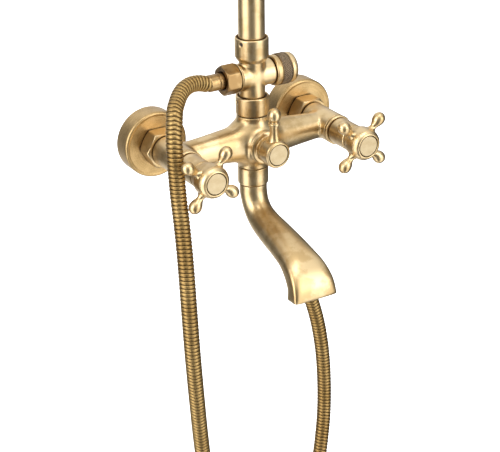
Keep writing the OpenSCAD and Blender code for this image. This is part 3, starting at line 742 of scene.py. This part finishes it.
def spout_rings(rows, wall, sides):
    rings = []
    angle = (np.arange(sides) + 0.5) * 2 * math.pi / sides
    middle_line = rows[:, :2]
    heading = np.gradient(middle_line, axis=0)
    heading /= np.linalg.norm(heading, axis=1)[:, None]
    heading[0], heading[-1] = (0, -1), (0, -1)
    for (forward, height, half, thick, power), (hf, hz) in zip(rows, heading):
        c, s = np.cos(angle), np.sin(angle)
        u = (half - wall) * np.sign(c) * np.abs(c) ** (2 / power)
        v = (thick - wall) * np.sign(s) * np.abs(s) ** (2 / power)
        rings.append(np.stack([u, axis_y - forward + v * hz, height + v * hf], 1))
    return rings


def make_spout():
    rows, _ = smooth_line(SPOUT_ROWS, 1.6)
    sides = 128
    outer = spout_rings(rows, 0, sides)
    lip = [rows[-1] - (0, d, 0, 0, 0) for d in (0, 0.25, 0.35, 0.25)]
    rings = outer[:-1]
    for row, wall in zip(lip, (0, 0.35, 1.0, 1.7)):
        rings += spout_rings(np.array([row - (0, -0.35, 0, 0, 0), row]), wall, sides)[1:]
    rings += spout_rings(rows[-14:], 2.2, sides)[::-1]
    curved = np.vstack(rings), ring_faces(len(rings), sides)
    piece("spout_curved", curved, "spout_swing", cast_brass, place((0, 0, 0)), "spout")
    seat = lathe([(0, -39), (10, -39), (10, -35.7), (11.7, -35.6), (11.7, -33.5), (9.2, -33.4),
                  (9.2, -14), (0, -14)], 0.3)
    piece("spout_spigot", seat, "spout_swing", raw_turned, upright())
    collar = lathe([(12.1, -23.2), (13.1, -23.2), (13.4, -23.7), (13.4, -38.1), (12.9, -38.8),
                    (10.4, -38.8), (10.4, -36.2), (12.1, -36.1)], 0.45, closed=True, sides=128)
    piece("spout_collar_turned", collar, "fixed", turned_brass, upright(), "spout_collar")


# ---- tee ----------------------------------------------------------------------------------------

def make_tee():
    def casting(p):
        x, f, z = p[..., 0], p[..., 1] - axis_y, p[..., 2]
        trunk = spun(np.hypot(x, f), z, [(36.6, 11.2), (60, 11.2), (81.9, 11.2)])
        branch = spun(np.hypot(f, z - tee_z), x, [(-14.5, 11.2), (0, 11.2), (18.1, 11.2)])
        return soft_union(1.6, trunk, branch)

    shape = skin(casting, (-15, axis_y - 12, 36), (19, axis_y + 12, 82.5), 0.7)
    piece("tee_casting", shape, "fixed", cast_brass, place((0, 0, 0)), "tee_body")
    ring = lathe([(9, -16.2), (11.8, -16.2), (12.4, -15.8), (12.4, -15), (11.8, -14.5), (9, -14.5)], 0.3,
                 closed=True)
    piece("tee_ring", ring, "fixed", turned_brass, sideways(tee_z))

    def knurl(r, z, angle):
        turns = 44 * angle / (2 * math.pi)
        climb = (z - 24.6) / 1.95
        first = np.abs((turns + climb) % 1 - 0.5) * 2
        second = np.abs((turns - climb) % 1 - 0.5) * 2
        cut = 0.75 * np.clip(1.25 - 1.6 * np.minimum(first, second), 0, 1)
        return np.where((r > 13.45) & (z > 24.4) & (z < 32.6), r - cut, r)

    knob = lathe([(0, 18.6), (12.4, 18.6), (13.3, 19.4), (13.3, 23), (12.8, 23.2), (12.8, 23.9),
                  (13.6, 24), (13.8, 24.4), (13.8, 32.6), (13.5, 32.9), (12.8, 33), (12.8, 33.4),
                  (13.3, 33.7), (13.35, 36), (13, 38), (12, 39.4), (10, 39.95), (8, 39.6), (0, 39.6)],
                 0.4, sides=352, relief=knurl, step=0.28)
    piece("tee_knob_knurled", knob, "tee_knob_turn", knurled_brass, sideways(tee_z), "tee_knob")

    nut = lathe([(9.5, 16.7), (13.6, 16.7), (13.6, 29.9), (12, 29.9), (8.6, 29.9), (7.4, 28.8), (7.4, 27.2),
                 (9.5, 27.2)], 0.3, closed=True, sides=180, relief=hexagon(23.6, 16.7, 29.9, -22), step=0.4)
    piece("hose_nut_hexagon", nut, "fixed", deep_brass, sideways(tee_z, -90), "hose_nut")
    ferrule = lathe([(5.6, 26), (9.2, 26), (9.2, 27), (7.2, 27.1), (7.2, 33.6), (6.7, 33.9), (6.7, 34.5),
                     (7.25, 34.8), (7.25, 42.6), (6.8, 43.6), (6.2, 44), (5.6, 44)], 0.25, closed=True)
    piece("hose_ferrule_turned", ferrule, "fixed", deep_brass, sideways(tee_z, -90), "hose_ferrule")


def dimple(height, degrees, wide, deep):
    """Relief of a small round hole in a cylinder's side."""
    def relief(r, z, angle):
        turn = (angle - math.radians(degrees) + math.pi) % (2 * math.pi) - math.pi
        off = np.hypot(turn * r, z - height)
        return np.where(r > 13, r - deep * np.clip((wide - off) / 0.3 + 0.5, 0, 1), r)
    return relief


def make_slip_nuts():
    lower = lathe([(11.6, 25.1), (13.5, 25.1), (14.4, 25.9), (14.5, 26.5), (14.5, 40.6), (14.2, 41.3),
                   (13.4, 41.7), (12.4, 41.2), (12.1, 40), (11.3, 39.8), (11.3, 36.2), (11.6, 36.1)],
                  0.35, closed=True, sides=288, relief=dimple(37, 174, 1.75, 1.6), step=0.4)
    piece("lower_slip_nut_turned", lower, "fixed", turned_brass, upright(), "lower_slip_nut")
    upper = lathe([(11.3, 72.6), (12.1, 72.6), (14.2, 75.9), (14.5, 76.8), (14.5, 92.3), (14.2, 93),
                   (13.5, 93.4), (12.6, 92.9), (12.3, 91.6), (11.5, 91.4), (11.5, 82.2), (11.3, 82.1)],
                  0.35, closed=True, sides=288, relief=dimple(89.4, -160, 1.75, 1.6), step=0.4)
    piece("upper_slip_nut_turned", upper, "fixed", turned_brass, upright(), "upper_slip_nut")


# ---- riser and arm ------------------------------------------------------------------------------

def make_riser():
    riser = lathe([(10.05, 82.5), (11.3, 82.5), (11.4, 83.4), (11.4, riser_top - 0.6), (11, riser_top),
                   (10.05, riser_top)], 0.3, closed=True, step=20)
    piece("lower_riser_drawn", riser, "fixed", drawn_brass, upright(), "lower_riser")
    t = riser_top
    collar = lathe([(11.5, t - 14), (13, t - 14), (14.2, t - 13), (15.3, t - 11.4), (15.4, t - 9),
                    (15, t - 8.4), (15, t - 7.6), (15.4, t - 7), (15.4, t + 11), (15, t + 12.6),
                    (13.4, t + 14), (12.6, t + 15.4), (12.4, t + 18), (11.6, t + 20), (10, t + 20),
                    (10, t + 0.2), (11.5, t + 0.1)], 0.5, closed=True, sides=128)
    piece("height_collar_turned", collar, "fixed", turned_brass, upright(), "height_collar")
    screw = lathe([(0, 10), (2.9, 10), (2.9, 17.2), (4.6, 17.3), (5, 18), (7.8, 18.9), (8.8, 20), (9, 21),
                   (9, 26.4), (8.4, 27.6), (6.6, 28.3), (5.8, 27.7), (0, 27.7)], 0.35, sides=160,
                  relief=fluted(20, 6.9, 0.45), step=0.8)
    piece("height_lock_fluted", screw, "height_lock", turned_brass, sideways(t + 6), "height_lock_screw")
    neck_z, neck_bend, end_bend = 980, 90, 50
    top = neck_z + neck_bend
    low = span("gooseneck_tube", 2)[0]
    drop = ball_z + 17
    path = [(0, axis_y, z) for z in np.linspace(low, neck_z, 20)]
    path += [(0, axis_y - neck_bend * (1 - math.cos(a)), neck_z + neck_bend * math.sin(a))
             for a in np.linspace(0, math.pi / 2, 33)[1:]]
    path += [(0, y, top) for y in np.linspace(axis_y - neck_bend, head_y + end_bend, 10)[1:]]
    path += [(0, head_y + end_bend * (1 - math.sin(a)), top - end_bend * (1 - math.cos(a)))
             for a in np.linspace(0, math.pi / 2, 25)[1:]]
    path += [(0, head_y, z) for z in (top - end_bend - 5, drop + 1)]
    radius = 9.5
    tube = sweep(np.array(path), lambda i, a: radius + 0 * i + 0 * a, 72)
    piece("gooseneck_bent", tube, "arm", arm_brass, place((0, 0, 0)), "gooseneck_tube")
    sleeve = lathe([(8.3, drop), (11.6, drop), (12.4, drop + 0.8), (12.4, drop + 6.4), (11.6, drop + 8),
                    (9.6, drop + 9), (8.3, drop + 9)], 0.5, closed=True)
    piece("gooseneck_sleeve", sleeve, "arm", turned_brass, upright(y=head_y))


def fluted(count, from_radius, deep):
    """Relief of shallow finger flutes on a knob's side."""
    def relief(r, z, angle):
        wave = np.abs(np.sin(count * angle / 2)) ** 0.7
        return np.where(r > from_radius + 1.2, r - deep * (1 - wave), r)
    return relief


def make_bracket():
    flange = lathe([(8, 4.3), (21.1, 4.3), (21.1, 0), (26, 0), (26, 4.6), (25.3, 6.6), (22.6, 8.1),
                    (16, 9.2), (12, 10.2), (9.6, 11.8), (8, 11.9)], 0.6, closed=True, sides=144)
    piece("bracket_rose", flange, "fixed", ringed_brass, outward(0, bracket_z), "bracket_flange")
    rod = lathe([(0, 4.2), (7.5, 4.2), (7.5, 20), (8.8, 20.9), (9, 22.4), (8.8, 24), (7.5, 25), (7.2, 33),
                 (8, 38), (9.2, 40), (0, 40)], 0.6)
    clamp = lathe([(11.5, -11), (14.8, -11), (16, -9.4), (16, -7.2), (15.4, -6.6), (15.4, 6.6), (16, 7.2),
                   (16, 9.4), (14.8, 11), (11.5, 11)], 0.5, closed=True, sides=128)
    piece("bracket_clamp", clamp, "fixed", turned_brass, upright(bracket_z), "bracket_arm")
    piece("bracket_stem", rod, "fixed", turned_brass, outward(0, bracket_z))


# ---- slider and hand shower ---------------------------------------------------------------------

def make_slider():
    sleeve = lathe([(11.5, -20), (14.2, -20), (15.6, -19.3), (16.2, -18), (16.2, -15.6), (15.5, -15),
                    (15.5, 15), (16.2, 15.6), (16.2, 18), (15.6, 19.3), (14.2, 20), (11.5, 20)], 0.5,
                   closed=True, sides=128)
    piece("slider_sleeve_turned", sleeve, "slider", turned_brass, upright(cradle_z), "slider_sleeve")
    boss = lathe([(3.6, 13), (9.4, 13), (8.4, 16.4), (8, 18), (8, 23.2), (7.2, 24), (3.6, 24)], 0.5,
                 closed=True)
    piece("slider_cradle_boss", boss, "slider", turned_brass, sideways(cradle_z))
    small = lathe([(3.2, 13), (8.4, 13), (7.4, 15.8), (7, 17), (7, 19.4), (6.4, 20), (3.2, 20)], 0.4,
                  closed=True)
    piece("slider_knob_boss", small, "slider", turned_brass, sideways(cradle_z, -90))
    knob = lathe([(0, 12), (2.9, 12), (2.9, 20.5), (5.6, 20.5), (6.4, 21.2), (9.8, 22.4), (10.6, 24),
                  (10.6, 29.6), (9.8, 31.2), (8, 32), (7, 31.4), (0, 31.4)], 0.4, sides=160,
                 relief=fluted(20, 8.2, 0.5), step=0.8)
    piece("slider_knob_fluted", knob, "slider_lock", turned_brass, sideways(cradle_z, -90),
          "slider_lock_knob")


def make_hand_shower():
    def fork(p):
        x, y, z = p[..., 0], p[..., 1], p[..., 2]
        ring = spun(np.hypot(x, y), z, [(-8.8, 13.8), (-7, 14.2), (0, 14.3), (7, 14.2), (8.8, 13.8)], 1.5)
        boss = spun(np.hypot(y, z), -x, [(11, 8), (14, 7.8), (19.4, 7.8)])
        hole = np.hypot(x, y) - (10.1 + z * 0.08)
        slot = np.maximum(np.abs(y) - 6.4, -x)
        return carved(soft_union(2, ring, boss), hole, slot)

    shape = skin(fork, (-20, -15, -10), (15, 15, 10), 0.6)
    piece("cradle_fork", shape, "hand_set", cast_brass, on_cradle(), "hand_cradle")
    pin = lathe([(0, 17.8), (3.4, 17.8), (3.5, 18.4), (3.5, 31), (0, 31)], 0.3)
    piece("cradle_pin", pin, "hand_set", raw_turned, sideways(cradle_z))
    nut = lathe([(5.6, -34), (6.8, -34), (7.25, -33.2), (7.25, -17), (8.4, -15.4), (9, -14), (9.1, -9),
                 (10.6, 10), (10.7, 12), (10.7, 13.8), (10, 14.6), (7.6, 14.7), (7.6, 2.2), (5.6, 2)],
                0.4, closed=True, sides=120)
    piece("hose_end_cone", nut, "hand_set", deep_brass, on_cradle(), "hose_end_nut")

    bell_middle, bell_tilt = (0, -22, 180), 110
    to_head = np.array((Matrix.Translation(bell_middle) @ turned_by("X", bell_tilt)).inverted())

    def wand(p):
        x, y, z = p[..., 0], p[..., 1], p[..., 2]
        handle = spun(np.hypot(x, y), z, [(15, 9.2), (19, 8.9), (24, 8.4), (40, 8.9), (60, 9.4),
                                          (90, 9.8), (112, 9.2), (126, 8.3), (150, 8.5), (165, 8.8),
                                          (172, 8.2)], 3)
        q = p @ to_head[:3, :3].T + to_head[:3, 3]
        r, a = np.hypot(q[..., 0], q[..., 1]), q[..., 2]
        bell = spun(a * 0 + r, a, [(-25.6, 5), (-24, 10), (-21, 16), (-16, 23.5), (-11, 30.5), (-7, 35.2),
                                   (-4.6, 36.8), (-2, 37), (1.6, 36.8)], 0.8)
        pocket = np.maximum(r - 34, -4 - a)
        return carved(soft_union(7, handle, bell), pocket)

    head = skin(wand, (-38, -66, 14), (38, 12, 216), 1.0)
    piece("hand_shower_wand", head, "hand_set", cast_brass, on_cradle(), "hand_shower")
    beads = joined(lathe([(7, 15), (10.3, 15), (11, 15.9), (11, 18.2), (10.2, 19.2), (8, 19.6)], 0.4),
                   lathe([(7.4, 127.8), (9, 128), (9.6, 129), (9.7, 130.6), (9.6, 132.2), (9, 133.2),
                          (7.4, 133.4)], 0.4))
    piece("hand_shower_beads", beads, "hand_set", turned_brass, on_cradle())


# ---- rain head ----------------------------------------------------------------------------------

def make_rain_head():
    r = span("rain_head_shell", 0)[1]
    nut = lathe([(12, -15.9), (13.9, -15.9), (15, -15), (15, -11.6), (14.4, -11), (14.4, -8.6), (15, -8),
                 (15, -4), (14.2, -0.4), (11.8, 6.4), (10.2, 8.1), (9.2, 8.1), (12, 4)], 0.4, closed=True,
                sides=120)
    piece("rain_nut_turned", nut, "rain_head", turned_brass, upright(ball_z, head_y), "rain_nut")
    shell = lathe([(0, -9.5), (11.4, -9.5), (11.5, -16.3), (15.3, -16.3), (17.4, -18.2), (30, -21.6),
                   (45, -23.6), (60, -25.6), (80, -27.4), (r - 5, -28.8), (r - 1.4, -29.8), (r, -31.4),
                   (r, -34.6), (r - 1.2, -35.9), (r - 3, -35.9), (r - 4, -35.2), (r - 6, -35.9),
                   (0, -35.9)], 0.9, sides=192)
    piece("rain_head_spun", shell, "rain_head", turned_brass, upright(ball_z, head_y), "rain_head_shell")


# ---- hose ---------------------------------------------------------------------------------------

HOSE_D = 14.0
RING_PITCH = 3.4
NUT_DROP = 34
cradle_at = Vector((FORK_X, axis_y, cradle_z))
cradle_up = Vector((0, -math.sin(math.radians(LEAN)), math.cos(math.radians(LEAN))))

hose_route = [
    (-44, axis_y, tee_z), (-52, -53.5, 62), (-61, -56, 63.3), (-70, -60.5, 62.5), (-77, -65.5, 60),
    (-83, -71.5, 56.6), (-88, -77, 53), (-92, -83, 47.5), (-96.5, -90, 35), (-98.4, -93.5, 22),
    (-98.3, -95, 5), (-98.2, -97, -14), (-98.2, -101.5, -39), (-99, -107, -69), (-99.7, -111.5, -105),
    (-98.5, -113, -149), (-94.5, -110, -191), (-88.4, -104, -237), (-82, -98, -279), (-75, -91, -325),
    (-66, -82, -372), (-48, -72, -422), (-20, -62.5, -446.6), (13, -51, -454), (49, -39.5, -440.5),
    (84, -28, -390), (97, -22, -342), (101, -18, -294), (98, -16, -245), (88, -15, -200),
    (66, -15, -144), (41, -15, -102), (26, -15, -62), (22, -15, -20), (23, -15, 50), (23, -15, 130),
    (28, -15, 200), (38, -16, 270), tuple(cradle_at - (NUT_DROP + 20) * cradle_up),
    tuple(cradle_at - NUT_DROP * cradle_up)]


def make_hose():
    steps = 8
    line, along = smooth_line(hose_route, RING_PITCH / steps)
    low, high = HOSE_D / 2 - 1.1, HOSE_D / 2

    def rib(i, angle):
        turn = along[i] / RING_PITCH + angle / (2 * math.pi)
        return np.clip(1.25 * np.abs(np.sin(math.pi * turn)), 0, 1) ** 0.6

    sides = 32
    points, faces = sweep(line, lambda i, a: low + (high - low) * rib(i, a), sides)
    hose = piece("shower_hose_ribbed", (points * MM, faces), "fixed", hose_brass(), Matrix.Identity(4))
    ribs = rib(np.arange(len(line))[:, None], (np.arange(sides) * 2 * math.pi / sides)[None, :])
    hose.data.attributes.new("rib", "FLOAT", "POINT").data.foreach_set(
        "value", ribs.astype(np.float32).ravel())
    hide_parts("shower_hose")
    hose.parent = None
    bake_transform(hose)
    return hose, line[::steps]


def lay_cord():
    [c * MM for c in hose_route[0]]


# ---- assembly -----------------------------------------------------------------------------------

make_camera()
hose, hose_line = make_hose()
make_mixer()
for name, x, degrees in HANDLE_TURNS:
    make_handle(name, x, degrees)
make_diverter()
make_spout()
make_tee()
make_slip_nuts()
make_riser()
make_bracket()
make_slider()
make_hand_shower()
make_rain_head()
lay_cord()

NODE_FINISHES = [
    (rubber, {"union_washers", "hose_washer", "spout_o_rings", "tube_seals", "rain_nozzles"}),
    (pale_plastic, {"hot_cartridge", "cold_cartridge", "diverter_cartridge", "riser_guide_bush"}),
    (grey_plastic, {"spout_aerator", "rain_seat_ring", "hand_spray_face"}),
    (steel, {"bracket_screws", "bracket_plate"}),
    (black_steel, {"slip_nut_screws"})]

for name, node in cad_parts.items():
    node.data.materials.clear()
    node.data.materials.append(next((finish for finish, names in NODE_FINISHES if name in names),
                                    raw_brass))


# ---- studio -------------------------------------------------------------------------------------

LIT_POINT = Vector((0, -0.05, 0))
STRIPS = ((84, 26, 2.3), (-24, 24, 1.85), (190, 34, 0.8))    # degrees left of the front, width, power


def area_light(name, at, size, power):
    data = bpy.data.lights.new(name, "AREA")
    data.shape = "RECTANGLE"
    data.size, data.size_y = size
    data.energy = power
    light = bpy.data.objects.new(name, data)
    bpy.context.scene.collection.objects.link(light)
    light.location = at
    light.rotation_euler = (LIT_POINT - Vector(at)).to_track_quat("-Z", "Y").to_euler()


def make_studio():
    floor_z = cad_box[0][2] - 0.03
    reach = 12
    mesh = bpy.data.meshes.new("studio_floor")
    mesh.from_pydata([(-reach, -reach, floor_z), (reach, -reach, floor_z), (reach, reach, floor_z),
                      (-reach, reach, floor_z)], [], [(0, 1, 2, 3)])
    f = Finish("floor_white")
    f.set(Base_Color=(0.92, 0.92, 0.92), Roughness=0.9, Emission_Color=(1, 1, 1), Emission_Strength=0.9)
    mesh.materials.append(f.material)
    floor = bpy.data.objects.new("studio_floor", mesh)
    bpy.context.scene.collection.objects.link(floor)
    floor.visible_glossy = False         # the brass mirrors the studio's walls, not the floor
    floor.visible_shadow = False
    world = bpy.data.worlds.new("studio")
    f = Finish("studio", world)
    x, y, z = f.axes(f.node("TexCoord").outputs["Generated"])
    level = (x * x + y * y + 0.0001).math("SQRT")
    lit = f.between(z, 0.25, 0.85) + 0.13
    for degrees, width, power in STRIPS:
        aim = math.radians(degrees)
        facing = (x * -math.sin(aim) + y * -math.cos(aim)) / level
        low = math.cos(math.radians(width))
        lit = lit + f.between(facing, low, (1 + low * 2) / 3) * f.between(z, 0.8, 0.4) * power
    background = world.node_tree.nodes["Background"]
    seen = f.wire(f.node("LightPath"), "Is Camera Ray")
    f.feed(background.inputs["Color"], (1, 1, 1))
    f.feed(background.inputs["Strength"], lit * (1 - seen) + seen)
    bpy.context.scene.world = world
    bpy.context.scene.view_settings.view_transform = "Standard"
    area_light("key_left", (-1.6, -0.45, 0.6), (0.4, 1.4), 8)
    area_light("key_right", (0.75, -1.6, 0.6), (0.4, 1.4), 6)
    area_light("top", (0, -0.9, 2.4), (1.6, 1.0), 18)


make_studio()
